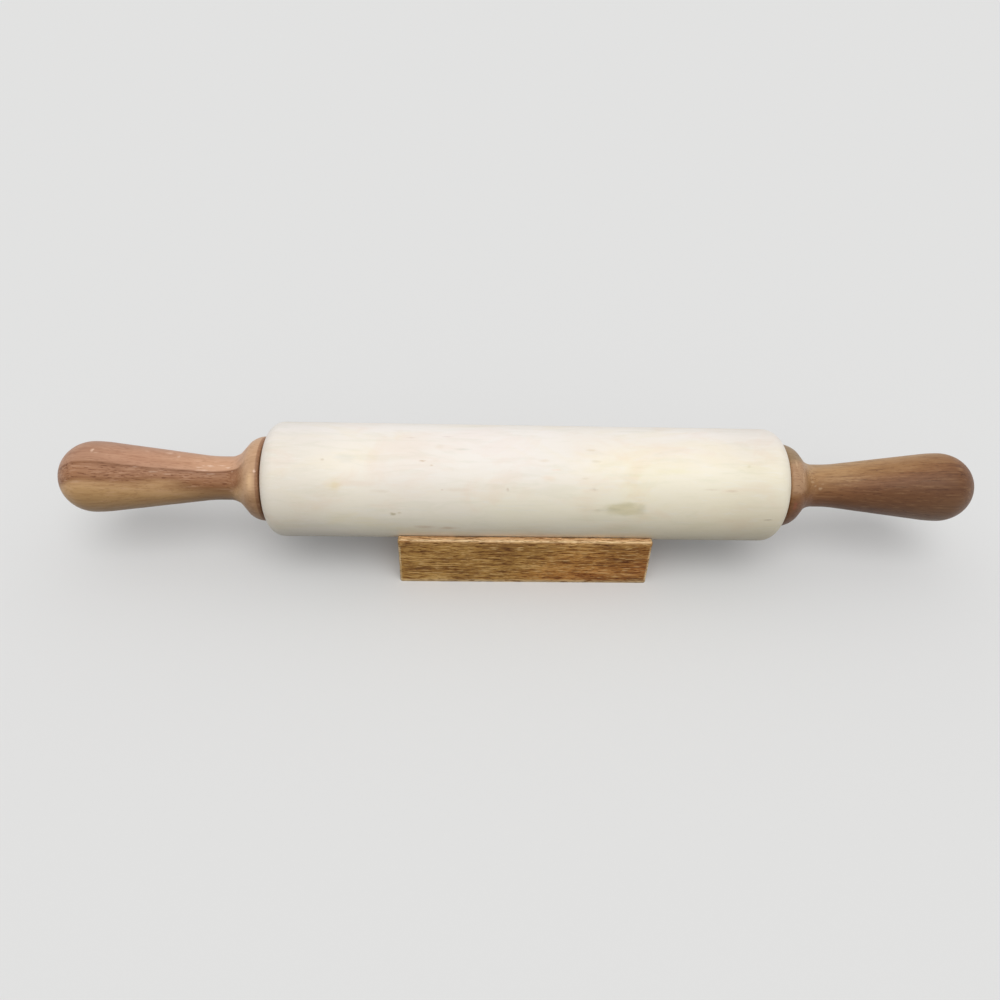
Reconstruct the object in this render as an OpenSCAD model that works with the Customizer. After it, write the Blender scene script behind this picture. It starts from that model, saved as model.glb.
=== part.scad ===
// Marble rolling pin with turned wooden handles, lying in its own wooden cradle.
// Millimetres, +Z up, +X along the pin. The origin is the middle of the cradle's underside.
// The barrel turns on two flanged bushes around a shouldered rod that joins the two handles.

/* [Barrel] */
// Diameter of the marble barrel
barrel_d = 57.2; // [54:0.2:64]
// Length of the marble barrel
barrel_len = 254.4; // [200:0.2:305]
// Radius that rounds each end of the barrel
barrel_end_r = 7.6; // [3:0.2:10]
// Diameter of the hole drilled right through the barrel
barrel_bore_d = 16; // [15:0.5:18]

/* [Handles] */
// Length of a handle from its flange face to its tip
handle_len = 101.2; // [95:0.2:125]
// Diameter of the flange next to the barrel
flange_d = 42.2; // [38:0.2:50]
// Distance from the flange face to the corner where its rim meets the cone
flange_w = 5.4; // [4.5:0.1:8]
// Angle between the flange cone and the handle's axis
flange_cone_angle = 48; // [40:1:60]
// Diameter of the neck, the thinnest place
neck_d = 21.8; // [19:0.2:24]
// Distance from the flange face to where the neck starts to swell
neck_end = 26.8; // [24:0.2:32]
// Largest diameter of the grip, near its tip
grip_d = 35.2; // [30:0.1:38]
// Distance from the tip back to the corner where the swelling grip reaches that diameter
grip_end_len = 20.6; // [20:0.1:26]

/* [Axle and bearings] */
// Diameter of the steel rod where it runs in the bushes
rod_d = 10; // [9.5:0.5:11]
// Diameter of the rod's two screwed ends
rod_stub_d = 8; // [6:0.5:8]
// Radial clearance between the rod and each bush
running_clearance = 0.05; // [0.02:0.01:0.09]
// Length of a bush's sleeve inside the barrel
bush_sleeve_len = 24; // [14:1:40]
// Diameter of a bush's flange
bush_flange_d = 26; // [22:0.5:30]
// Thickness of a bush's flange
bush_flange_t = 2; // [1.5:0.1:3]
// Diameter of the steel washer that runs on a bush's flange
washer_d = 20; // [16:0.5:22]
// Thickness of that washer
washer_t = 0.6; // [0.4:0.1:1]
// Diameter of the brass insert's body in the handle
insert_d = 12; // [11:0.5:13]
// Length of the brass insert
insert_len = 15; // [12:0.5:18]

/* [Cradle] */
// Length of the wooden cradle
cradle_len = 126.6; // [100:0.2:160]
// Height of the cradle's two rims
cradle_h = 27; // [24:0.5:30]
// Width of each flat rim beside the seat, with its rounded outer edge
rim_w = 3.1; // [2.5:0.1:6]
// Outward lean of the cradle's front and back faces
cradle_lean = 3; // [0:0.5:6]
// Height of the pin's axis above the cradle's rims
axis_over_rim = 15.6; // [13:0.1:18]

/* [Hidden] */
$fn = 96;

// Places along the pin's axis, measured from the middle of the barrel
barrel_end = barrel_len / 2;
bush_flange_proud = 0.4;
axial_play = 0.2;
rod_shoulder = barrel_end + bush_flange_proud + axial_play;
handle_face = rod_shoulder + washer_t;

// Barrel
bore_chamfer = 0.8;
bush_recess_depth = bush_flange_t - bush_flange_proud;

// Handle outline: rounding radii from the flange face to the tip.
// The shoulder runs into the flange's edge, and the swell into the tip, with a hair of flat between.
flat_hair = 0.05;
flange_edge_r = 1.4;
flange_shoulder_r = (flange_w - flange_edge_r - flat_hair) / tan(flange_cone_angle / 2);
neck_cove_r = 9;
neck_sweep_r = 60;
grip_corner = handle_len - grip_end_len;
grip_taper = atan((grip_d - neck_d) / 2 / (grip_corner - neck_end));
grip_tip_r = grip_d / 2 - 1.1;
grip_swell_r = (grip_end_len - grip_tip_r - flat_hair) / tan(grip_taper / 2);

// Rod, bush and insert
stub_len = 18;
stub_chamfer = 1;
stub_tip_gap = 4;
bush_chamfer = 0.6;
bush_edge_r = 0.5;
washer_bore_clearance = 0.15;
thread_clearance = 0.02;
insert_head_d = 15;
insert_head_t = 1.4;
insert_chamfer = 0.8;

// Cradle
pin_axis_z = cradle_h + axis_over_rim;
seat_clearance = 0.3;
seat_r = barrel_d / 2 + seat_clearance;
seat_edge_r = 1;
seat_edge_rise = axis_over_rim + seat_edge_r;
seat_edge_reach = seat_r + seat_edge_r;
seat_edge_across = sqrt(seat_edge_reach * seat_edge_reach - seat_edge_rise * seat_edge_rise);
rim_edge_r = 1.5;
base_edge_r = 1.6;
end_edge_r = 1.8;
cradle_top_w = 2 * (seat_edge_across + rim_w);
cradle_base_w = cradle_top_w + 2 * cradle_h * tan(cradle_lean);

// Small overlap that lets a cutting shape run past a face
past = 1;

// Shortest way from a corner to the points where its rounding starts
function unit(v) = v / norm(v);
function turn(a, b, c) = cross(b - a, c - b);
function half_angle(a, b, c) = acos(unit(a - b) * unit(c - b)) / 2;
function setback(a, b, c, r) = r / tan(half_angle(a, b, c));
function round_centre(a, b, c, r) =
    b + unit(unit(a - b) + unit(c - b)) * r / sin(half_angle(a, b, c));

// Points where the rounding of corner b starts and ends, or the bare corner itself
function corner_points(a, b, c, r) = r == 0
    ? [b]
    : [b + unit(a - b) * setback(a, b, c, r), b + unit(c - b) * setback(a, b, c, r)];

// Flat outline through the given corners, anticlockwise, each rounded by a true arc of its radius
module rounded_outline(corners, radii) {
    n = len(corners);
    before = [for (i = [0:n - 1]) corners[(i + n - 1) % n]];
    after = [for (i = [0:n - 1]) corners[(i + 1) % n]];
    difference() {
        union() {
            polygon([for (i = [0:n - 1]) each corner_points(before[i], corners[i], after[i], radii[i])]);
            for (i = [0:n - 1])
                if (radii[i] > 0 && turn(before[i], corners[i], after[i]) > 0)
                    round_piece(before[i], corners[i], after[i], radii[i]);
        }
        for (i = [0:n - 1])
            if (radii[i] > 0 && turn(before[i], corners[i], after[i]) < 0)
                round_piece(before[i], corners[i], after[i], radii[i]);
    }
}

// The part of the rounding circle that lies in the corner
module round_piece(a, b, c, r) {
    ends = corner_points(a, b, c, r);
    intersection() {
        polygon([ends[0], b, ends[1]]);
        translate(round_centre(a, b, c, r)) circle(r);
    }
}

// Turns an outline drawn as [radius, place along the axis] about the pin's axis
module turned_on_pin_axis() {
    translate([0, 0, pin_axis_z]) rotate([0, 90, 0]) rotate_extrude() children();
}

// Draws a right-hand piece, or its mirror image at the left-hand end
module at_end(side) {
    if (side == "left") mirror([1, 0, 0]) children();
    else children();
}

// Marble cylinder with rounded ends, drilled through, with a shallow recess for each bush flange
module marble_barrel() {
    bore_r = barrel_bore_d / 2;
    recess_r = bush_flange_d / 2;
    recess_floor = barrel_end - bush_recess_depth;
    color([0.93, 0.90, 0.84]) turned_on_pin_axis() difference() {
        rounded_outline(
            [[bore_r, -barrel_end], [barrel_d / 2, -barrel_end], [barrel_d / 2, barrel_end], [bore_r, barrel_end]],
            [0, barrel_end_r, barrel_end_r, 0]
        );
        for (m = [0, 1]) mirror([0, m]) {
            translate([0, recess_floor]) square([recess_r, bush_recess_depth + past]);
            polygon([
                [bore_r - past, recess_floor - bore_chamfer - past],
                [bore_r + bore_chamfer, recess_floor],
                [bore_r - past, recess_floor]
            ]);
        }
    }
}

// Steel rod: full size through the barrel, stepped down at both ends to shoulders that stop the handles
module axle_rod() {
    tip = rod_shoulder + stub_len;
    stub_r = rod_stub_d / 2;
    right_half = [
        [rod_d / 2, rod_shoulder - stub_chamfer / 2],
        [rod_d / 2 - stub_chamfer / 2, rod_shoulder],
        [stub_r, rod_shoulder],
        [stub_r, tip - stub_chamfer],
        [stub_r - stub_chamfer, tip],
        [0, tip]
    ];
    left_half = [for (i = [len(right_half) - 1:-1:0]) [right_half[i][0], -right_half[i][1]]];
    color([0.72, 0.73, 0.75]) turned_on_pin_axis() polygon(concat(left_half, right_half));
}

// Nylon bush: a sleeve pressed into the bore and a flange that lies in the recess and stands a little proud
module bush(side) {
    bore_r = rod_d / 2 + running_clearance;
    sleeve_r = barrel_bore_d / 2;
    face = barrel_end + bush_flange_proud;
    back = face - bush_flange_t;
    inner = back - bush_sleeve_len;
    color([0.95, 0.95, 0.93]) at_end(side) turned_on_pin_axis() rounded_outline(
        [
            [bore_r, inner + bush_chamfer],
            [bore_r + bush_chamfer, inner],
            [sleeve_r - bush_chamfer, inner],
            [sleeve_r, inner + 2 * bush_chamfer],
            [sleeve_r, back],
            [bush_flange_d / 2, back],
            [bush_flange_d / 2, face],
            [bore_r + bush_chamfer, face],
            [bore_r, face - bush_chamfer]
        ],
        [0, 0, 0, 0, 0, 0, bush_edge_r, 0, 0]
    );
}

// Steel washer clamped between the rod's shoulder and the handle
module thrust_washer(side) {
    color([0.78, 0.79, 0.80]) at_end(side) turned_on_pin_axis()
        translate([rod_stub_d / 2 + washer_bore_clearance, rod_shoulder])
            square([(washer_d - rod_stub_d) / 2 - washer_bore_clearance, washer_t]);
}

// Brass insert with a thin head, sunk flush in the handle's flange face and screwed on the rod's end
module threaded_insert(side) {
    inner_r = rod_stub_d / 2 + thread_clearance;
    body_end = handle_face + insert_len;
    color([0.80, 0.66, 0.38]) at_end(side) turned_on_pin_axis() polygon([
        [inner_r, handle_face],
        [insert_head_d / 2, handle_face],
        [insert_head_d / 2, handle_face + insert_head_t],
        [insert_d / 2, handle_face + insert_head_t],
        [insert_d / 2, body_end - insert_chamfer],
        [insert_d / 2 - insert_chamfer, body_end],
        [inner_r, body_end]
    ]);
}

// Turned wooden handle: rounded flange, cone and cove down to the neck, then a long swelling grip
module handle(side) {
    flange_r = flange_d / 2;
    neck_r = neck_d / 2;
    grip_r = grip_d / 2;
    cone_foot = flange_w + (flange_r - neck_r) / tan(flange_cone_angle);
    color(side == "left" ? [0.70, 0.47, 0.30] : [0.62, 0.43, 0.27]) at_end(side) turned_on_pin_axis()
        translate([0, handle_face]) difference() {
            rounded_outline(
                [
                    [0, 0],
                    [flange_r, 0],
                    [flange_r, flange_w],
                    [neck_r, cone_foot],
                    [neck_r, neck_end],
                    [grip_r, grip_corner],
                    [grip_r, handle_len],
                    [0, handle_len]
                ],
                [0, flange_edge_r, flange_shoulder_r, neck_cove_r, neck_sweep_r, grip_swell_r, grip_tip_r, 0]
            );
            handle_hole();
        }
}

// Stepped hole in the flange face: a seat for the insert's head, its body and the end of the rod
module handle_hole() {
    rod_hole_r = rod_stub_d / 2 + 0.4;
    rod_hole_end = rod_shoulder + stub_len + stub_tip_gap - handle_face;
    drill_point = rod_hole_r / 2;
    polygon([
        [0, -past],
        [insert_head_d / 2, -past],
        [insert_head_d / 2, insert_head_t],
        [insert_d / 2, insert_head_t],
        [insert_d / 2, insert_len],
        [rod_hole_r, insert_len],
        [rod_hole_r, rod_hole_end],
        [0, rod_hole_end + drill_point]
    ]);
}

// Wooden block with leaning faces, a round seat along its top and eased edges all over
module cradle_block() {
    color([0.66, 0.48, 0.28]) difference() {
        intersection() {
            rotate([90, 0, 90]) linear_extrude(cradle_len, center = true) cradle_section();
            rotate([90, 0, 0]) linear_extrude(cradle_base_w + 2 * past, center = true) cradle_front();
        }
        for (end = [0, 1], face = [0, 1]) mirror([end, 0, 0]) mirror([0, face, 0]) end_edge_cutter();
    }
}

// Cross-section of the cradle, drawn as [across, up]
module cradle_section() {
    base = cradle_base_w / 2;
    top = cradle_top_w / 2;
    difference() {
        rounded_outline(
            [[-base, 0], [base, 0], [top, cradle_h], [-top, cradle_h]],
            [base_edge_r, base_edge_r, rim_edge_r, rim_edge_r]
        );
        translate([0, pin_axis_z]) circle(seat_r);
        for (m = [0, 1]) mirror([m, 0]) seat_edge_easing();
    }
}

// Sliver cut from the edge between the flat rim and the round seat, leaving a small true arc
module seat_edge_easing() {
    across = seat_edge_across;
    on_seat = [across, -seat_edge_rise] * seat_r / seat_edge_reach;
    difference() {
        polygon([
            [across, cradle_h],
            [across, cradle_h + past],
            [across - 4 * seat_edge_r, cradle_h + past],
            [on_seat[0] - seat_edge_r, pin_axis_z + on_seat[1]],
            [on_seat[0], pin_axis_z + on_seat[1]]
        ]);
        translate([across, cradle_h - seat_edge_r]) circle(seat_edge_r);
    }
}

// Front view of the block, with its four corners eased
module cradle_front() {
    half = cradle_len / 2;
    rounded_outline(
        [[-half, 0], [half, 0], [half, cradle_h], [-half, cradle_h]],
        [base_edge_r, base_edge_r, rim_edge_r, rim_edge_r]
    );
}

// Tool that rounds the leaning edge between one end and one long face
module end_edge_cutter() {
    translate([cradle_len / 2, cradle_base_w / 2, 0]) rotate([cradle_lean, 0, 0])
        translate([0, 0, -2 * past]) linear_extrude(cradle_h + 4 * past) difference() {
            translate([-end_edge_r, -end_edge_r]) square(end_edge_r + past);
            translate([-end_edge_r, -end_edge_r]) circle(end_edge_r);
        }
}

cradle_block();
marble_barrel();
axle_rod();
bush("left");  // left_bush
bush("right");  // right_bush
thrust_washer("left");  // left_thrust_washer
thrust_washer("right");  // right_thrust_washer
threaded_insert("left");  // left_threaded_insert
threaded_insert("right");  // right_threaded_insert
handle("left");  // left_handle
handle("right");  // right_handle
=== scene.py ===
import math
import bmesh
import bpy
from mathutils import Matrix, Vector, noise


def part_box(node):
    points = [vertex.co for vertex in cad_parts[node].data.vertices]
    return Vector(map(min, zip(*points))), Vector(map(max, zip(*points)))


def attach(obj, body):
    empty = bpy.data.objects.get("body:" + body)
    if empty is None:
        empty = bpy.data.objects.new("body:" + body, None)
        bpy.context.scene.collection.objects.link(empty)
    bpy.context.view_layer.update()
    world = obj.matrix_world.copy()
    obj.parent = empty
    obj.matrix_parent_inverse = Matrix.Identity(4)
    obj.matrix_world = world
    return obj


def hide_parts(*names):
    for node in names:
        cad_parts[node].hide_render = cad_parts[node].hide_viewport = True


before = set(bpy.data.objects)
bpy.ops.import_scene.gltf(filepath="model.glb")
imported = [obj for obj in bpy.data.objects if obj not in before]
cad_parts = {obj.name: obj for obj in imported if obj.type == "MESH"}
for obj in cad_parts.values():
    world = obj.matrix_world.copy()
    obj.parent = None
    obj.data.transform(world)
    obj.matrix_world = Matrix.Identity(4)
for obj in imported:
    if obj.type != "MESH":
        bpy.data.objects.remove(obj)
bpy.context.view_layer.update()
print("frame loaded:", ", ".join(sorted(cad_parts)))

mm = 0.001
mergeGap = 0.002 * mm
cutGap = 0.001 * mm
sharpAngle = math.radians(32)
fewestSteps = 3
barrelLow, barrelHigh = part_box("marble_barrel")
pinAxis = (barrelLow + barrelHigh) / 2
barrelRadius = (barrelHigh.z - barrelLow.z) / 2
barrelEnd = barrelHigh.x
handleLow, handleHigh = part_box("right_handle")
cradleLow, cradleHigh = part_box("cradle_block")


def addObject(name, data):
    thing = bpy.data.objects.new(name, data)
    bpy.context.scene.collection.objects.link(thing)
    return thing


def addMesh(name, mesh):
    data = bpy.data.meshes.new(name)
    mesh.to_mesh(data)
    mesh.free()
    return addObject(name, data)


# Camera, placed from the middle of the barrel, with the photograph's turn, dip and tilt
cameraView = {
    "place": Vector((-26.5, -287.4, 227.3)) * mm,
    "turn": math.radians(2.79),
    "dip": math.radians(39.77),
    "tilt": math.radians(2.46),
    "lens": 26.0,
    "sensor": 36.0,
    "nearest": 0.01,
    "farthest": 50.0,
}


def makeCamera():
    view = cameraView
    data = bpy.data.cameras.new("camera")
    data.lens = view["lens"]
    data.sensor_width = view["sensor"]
    data.clip_start = view["nearest"]
    data.clip_end = view["farthest"]
    camera = addObject("camera", data)
    turn = Matrix.Rotation(-view["turn"], 4, "Z")
    dip = Matrix.Rotation(math.pi / 2 - view["dip"], 4, "X")
    tilt = Matrix.Rotation(view["tilt"], 4, "Z")
    camera.matrix_world = Matrix.Translation(pinAxis + view["place"]) @ turn @ dip @ tilt
    bpy.context.scene.camera = camera


makeCamera()
print("camera placed")


# Turned pieces start as a flat outline of [x, radius, rounding] corners
def drawOutline(mesh, corners, closed, arcStep):
    verts = [mesh.verts.new((x, 0, pinAxis.z + radius)) for x, radius, rounding in corners]
    for pair in zip(verts, verts[1:]):
        mesh.edges.new(pair)
    if closed:
        mesh.edges.new((verts[-1], verts[0]))
    for vert, (x, radius, rounding) in zip(verts, corners):
        if rounding:
            sides = [edge.other_vert(vert).co - vert.co for edge in vert.link_edges]
            half = sides[0].angle(sides[1]) / 2
            steps = max(fewestSteps, round(rounding * (math.pi - 2 * half) / arcStep))
            bmesh.ops.bevel(
                mesh, geom=[vert], offset=rounding / math.tan(half), offset_type="OFFSET",
                segments=steps, profile=0.5, affect="VERTICES", material=-1,
            )


def spinOutline(mesh, step, turns):
    for edge in mesh.edges[:]:
        cuts = int(edge.calc_length() / step)
        if cuts:
            bmesh.ops.subdivide_edges(mesh, edges=[edge], cuts=cuts)
    bmesh.ops.spin(
        mesh, geom=mesh.verts[:] + mesh.edges[:], cent=pinAxis, axis=(1, 0, 0),
        angle=math.tau, steps=turns, use_merge=True,
    )


# Merges, turns the faces outwards, smooths all but the sharp edges and hangs the piece on its body
def finishPiece(mesh, node, body):
    bmesh.ops.remove_doubles(mesh, verts=mesh.verts, dist=mergeGap)
    bmesh.ops.recalc_face_normals(mesh, faces=mesh.faces)
    for face in mesh.faces:
        face.smooth = True
    for edge in mesh.edges:
        edge.smooth = edge.calc_face_angle(0) < sharpAngle
    piece = addMesh(node + "_look", mesh)
    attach(piece, body)
    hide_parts(node)
    return piece


# Direction from the pin's axis out to a point, and its distance
def fromAxis(point):
    out = Vector((0, point.y, point.z - pinAxis.z))
    return out.normalized(), out.length


# A place on a turned piece: x, radius, and the angle from straight up towards the front
def onTurned(x, radius, angle):
    return Vector((x, -radius * math.sin(angle), pinAxis.z + radius * math.cos(angle)))


# 1 up to a start, and then a smooth fall towards 0
def falloff(gap, reach, steep=1.0, start=0.0):
    return math.exp(-steep * (max(0, gap - start) / reach) ** 2)


# Slow and quick waves of a surface, about 0. A shift gives another piece waves of its own
def waviness(point, slow, quick, quickShare, shift=0.0):
    return noise.noise(point * slow + Vector((shift, 0, 0))) + quickShare * noise.noise(point * quick)


# The hole is [depth, radius] in mm, from its blind end out. What lies within its size isn't moved
handleShape = {
    "flangeWidth": 5.4 * mm,
    "flangeEdge": 1.4 * mm,
    "shoulder": 8.87 * mm,
    "coneAngle": math.radians(48),
    "neckRadius": 10.9 * mm,
    "neckCove": 9.0 * mm,
    "neckEnd": 26.8 * mm,
    "neckSweep": 60.0 * mm,
    "gripRadius": 17.6 * mm,
    "gripEnd": 20.6 * mm,
    "gripSwell": 65.3 * mm,
    "tip": 16.5 * mm,
    "hole": ((23.6, 0), (21.4, 4.4), (15.0, 4.4), (15.0, 6.0), (1.4, 6.0), (1.4, 7.5), (0, 7.5)),
    "holeRadius": 7.6 * mm,
    "holeDepth": 24.0 * mm,
    "flatFace": 0.2 * mm,
    "turns": 144,
    "step": 1.0 * mm,
    "arcStep": 0.8 * mm,
    "waves": (55, 160, 0.5),
    "waveShift": 3.1,
    "sanded": 0.035 * mm,
    "uneven": 0.030 * mm,
    "dentSteep": 2.0,
}
# Small dents: distance from the flange face, angle from up towards the front, radius and depth
handleDents = {
    "left": ((81.2, 6, 1.5, 0.30), (46.5, -10, 1.3, 0.20), (42.4, -3, 1.0, 0.16), (26.3, 21, 0.8, 0.14)),
    "right": ((14.6, 43, 0.9, 0.16), (18.8, 62, 1.0, 0.20), (63.0, 12, 1.1, 0.12)),
}


def handleOutline():
    shape = handleShape
    length = handleHigh.x - handleLow.x
    flangeRadius = (handleHigh.z - handleLow.z) / 2
    coneFoot = shape["flangeWidth"] + (flangeRadius - shape["neckRadius"]) / math.tan(shape["coneAngle"])
    corners = [(t * mm, radius * mm, 0) for t, radius in shape["hole"]]
    corners += [
        (0, flangeRadius, shape["flangeEdge"]),
        (shape["flangeWidth"], flangeRadius, shape["shoulder"]),
        (coneFoot, shape["neckRadius"], shape["neckCove"]),
        (shape["neckEnd"], shape["neckRadius"], shape["neckSweep"]),
        (length - shape["gripEnd"], shape["gripRadius"], shape["gripSwell"]),
        (length, shape["gripRadius"], shape["tip"]),
        (length, 0, 0),
    ]
    return [(handleLow.x + t, radius, rounding) for t, radius, rounding in corners]


def makeHandle(side):
    shape = handleShape
    hand = 1 if side == "right" else -1
    mesh = bmesh.new()
    drawOutline(mesh, handleOutline(), False, shape["arcStep"])
    spinOutline(mesh, shape["step"], shape["turns"])
    bmesh.ops.scale(mesh, vec=(hand, 1, 1), verts=mesh.verts)
    dents = [
        (hand * (handleLow.x + t * mm), math.radians(angle), size * mm, deep * mm)
        for t, angle, size, deep in handleDents[side]
    ]
    for vert in mesh.verts:
        out, radius = fromAxis(vert.co)
        t = abs(vert.co.x) - handleLow.x
        inHole = radius < shape["holeRadius"] and t < shape["holeDepth"]
        if inHole or t < shape["flatFace"]:
            continue
        wave = waviness(vert.co, *shape["waves"], hand * shape["waveShift"])
        sink = shape["sanded"] + shape["uneven"] * wave
        for x, angle, size, deep in dents:
            gap = (vert.co - onTurned(x, radius, angle)).length
            sink += deep * falloff(gap, size, shape["dentSteep"])
        vert.co -= out * sink
    return finishPiece(mesh, side + "_handle", "grips")


leftHandle = makeHandle("left")
rightHandle = makeHandle("right")
print("handles turned")

barrelShape = {
    "endRound": 7.6 * mm,
    "bore": 8.0 * mm,
    "boreChamfer": 0.8 * mm,
    "recessRadius": 13.0 * mm,
    "recessDepth": 1.6 * mm,
    "flatFace": 0.05 * mm,
    "turns": 168,
    "step": 1.8 * mm,
    "arcStep": 0.9 * mm,
    "waveScale": 24,
    "polished": 0.020 * mm,
    "uneven": 0.025 * mm,
    "chipFromEnd": 2.0 * mm,
    "chipFromSide": 1.9 * mm,
    "chipSteep": 1.5,
    "chipGrain": 900,
    "chipRough": 0.6,
}
# Small chips on the rounded ends: end, angle from up towards the front, radius and depth
barrelChips = (
    (1, 58, 1.3, 0.22), (1, 131, 1.8, 0.35), (1, -64, 2.1, 0.4),
    (-1, 148, 1.5, 0.3), (-1, -20, 1.2, 0.2), (-1, 97, 1.0, 0.2),
)


def makeBarrel():
    shape = barrelShape
    recess = barrelEnd - shape["recessDepth"]
    rightEnd = [
        (recess - shape["boreChamfer"], shape["bore"], 0),
        (recess, shape["bore"] + shape["boreChamfer"], 0),
        (recess, shape["recessRadius"], 0),
        (barrelEnd, shape["recessRadius"], 0),
        (barrelEnd, barrelRadius, shape["endRound"]),
    ]
    leftEnd = [(-x, radius, rounding) for x, radius, rounding in reversed(rightEnd)]
    mesh = bmesh.new()
    drawOutline(mesh, rightEnd + leftEnd, True, shape["arcStep"])
    spinOutline(mesh, shape["step"], shape["turns"])
    chips = []
    for end, angle, size, deep in barrelChips:
        x = end * (barrelEnd - shape["chipFromEnd"])
        spot = onTurned(x, barrelRadius - shape["chipFromSide"], math.radians(angle))
        chips.append((spot, size * mm, deep * mm))
    for vert in mesh.verts:
        out, radius = fromAxis(vert.co)
        onEndFace = abs(vert.co.x) > barrelEnd - shape["flatFace"]
        if onEndFace or radius < barrelRadius - shape["endRound"]:
            continue
        sink = shape["polished"] + shape["uneven"] * noise.noise(vert.co * shape["waveScale"])
        rough = 1 + shape["chipRough"] * noise.noise(vert.co * shape["chipGrain"])
        for spot, size, deep in chips:
            sink += deep * rough * falloff((vert.co - spot).length, size, shape["chipSteep"])
        vert.co -= out * sink
    return finishPiece(mesh, "marble_barrel", "barrel")


barrel = makeBarrel()
print("barrel turned")

# Worn lines are [width, fade], seen from an edge. These lighter lines are partly wear and partly a painted
# highlight on the edges
cradleShape = {
    "lean": math.radians(3),
    "seatGap": 0.3 * mm,
    "seatSlack": 0.02 * mm,  # how far off a point may lie and still be on the seat
    "seatSteps": 44,
    "seatCorner": math.radians(25),
    "seatEdge": 0.55 * mm,
    "seatEdgeSteps": 3,
    "corner": math.radians(50),
    "shortest": 2.0 * mm,
    "edge": 1.6 * mm,
    "edgeSteps": 6,
    "floorCut": 1.0 * mm,
    "slice": 2.0 * mm,
    "waves": (70, 260, 0.4),
    "waveStart": 0.5,
    "wear": 0.35 * mm,
    "wearFade": 1.6 * mm,
    "fuzz": 0.03 * mm,
    "rimFade": 0.7 * mm,
    "wearAndHighlightLine": (0.95 * mm, 0.30 * mm),
    "rimLine": (0.32 * mm, 0.20 * mm),
    "rimZone": 3.0 * mm,
    "footKept": 0.3 * mm,
    "footFade": 1.2 * mm,
}


# Half the cradle's depth at a height, as its sides lean in towards the rim
def halfDepth(height):
    shape = cradleShape
    return cradleHigh.y + (shape["edge"] - shape["floorCut"] - height) * math.tan(shape["lean"])


def onSeat(vert):
    shape = cradleShape
    return abs(fromAxis(vert.co)[1] - barrelRadius - shape["seatGap"]) < shape["seatSlack"]


def pick(kind, parts):
    return [part for part in parts if isinstance(part, kind)]


def roundEdges(mesh, edges, width, steps):
    bmesh.ops.bevel(
        mesh, geom=edges, offset=width, offset_type="OFFSET",
        segments=steps, profile=0.5, affect="EDGES", material=-1,
    )


def cutAcross(mesh, place, normal, dropBelow=False):
    return bmesh.ops.bisect_plane(
        mesh, geom=mesh.verts[:] + mesh.edges[:] + mesh.faces[:], dist=cutGap,
        plane_co=place, plane_no=normal, clear_inner=dropBelow,
    )


def sawCradle(mesh):
    shape = cradleShape
    rimHeight = cradleHigh.z
    seatRadius = barrelRadius + shape["seatGap"]
    seatAcross = math.sqrt(seatRadius ** 2 - (pinAxis.z - rimHeight) ** 2)
    start = mesh.verts.new((cradleLow.x, -seatAcross, rimHeight))
    arc = bmesh.ops.spin(
        mesh, geom=[start], cent=pinAxis, axis=(1, 0, 0),
        angle=2 * math.asin(seatAcross / seatRadius), steps=shape["seatSteps"],
    )
    last = pick(bmesh.types.BMVert, arc["geom_last"])[0]
    under = -shape["floorCut"]
    top, foot = halfDepth(rimHeight), halfDepth(under)
    outer = ((-top, rimHeight), (-foot, under), (foot, under), (top, rimHeight))
    ring = [start] + [mesh.verts.new((cradleLow.x, y, z)) for y, z in outer] + [last]
    for pair in zip(ring, ring[1:]):
        mesh.edges.new(pair)
    bmesh.ops.contextual_create(mesh, geom=mesh.edges[:])
    block = bmesh.ops.extrude_face_region(mesh, geom=mesh.faces[:])
    far = pick(bmesh.types.BMVert, block["geom"])
    bmesh.ops.translate(mesh, verts=far, vec=(cradleHigh.x - cradleLow.x, 0, 0))
    bmesh.ops.recalc_face_normals(mesh, faces=mesh.faces)


def roundCradle(mesh):
    shape = cradleShape
    seatEdges = [
        edge for edge in mesh.edges
        if all(onSeat(vert) for vert in edge.verts) and edge.calc_face_angle() > shape["seatCorner"]
    ]
    roundEdges(mesh, seatEdges, shape["seatEdge"], shape["seatEdgeSteps"])
    outerEdges = [
        edge for edge in mesh.edges
        if edge.calc_length() > shape["shortest"] and edge.calc_face_angle() > shape["corner"]
    ]
    roundEdges(mesh, outerEdges, shape["edge"], shape["edgeSteps"])
    # The rounding runs on below the floor, so this cut leaves a crisp foot
    cut = cutAcross(mesh, (0, 0, 0), (0, 0, 1), True)
    bmesh.ops.contextual_create(mesh, geom=pick(bmesh.types.BMEdge, cut["geom_cut"]))


# Thin slices across the block give the wear enough points to move
def sliceCradle(mesh):
    spans = (
        (Vector((1, 0, 0)), cradleLow.x, cradleHigh.x),
        (Vector((0, 1, 0)), -halfDepth(0), halfDepth(0)),
        (Vector((0, 0, 1)), 0, cradleHigh.z),
    )
    for normal, low, high in spans:
        count = int((high - low) / cradleShape["slice"])
        for i in range(1, count):
            cutAcross(mesh, normal * (low + (high - low) * i / count), normal)
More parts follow.
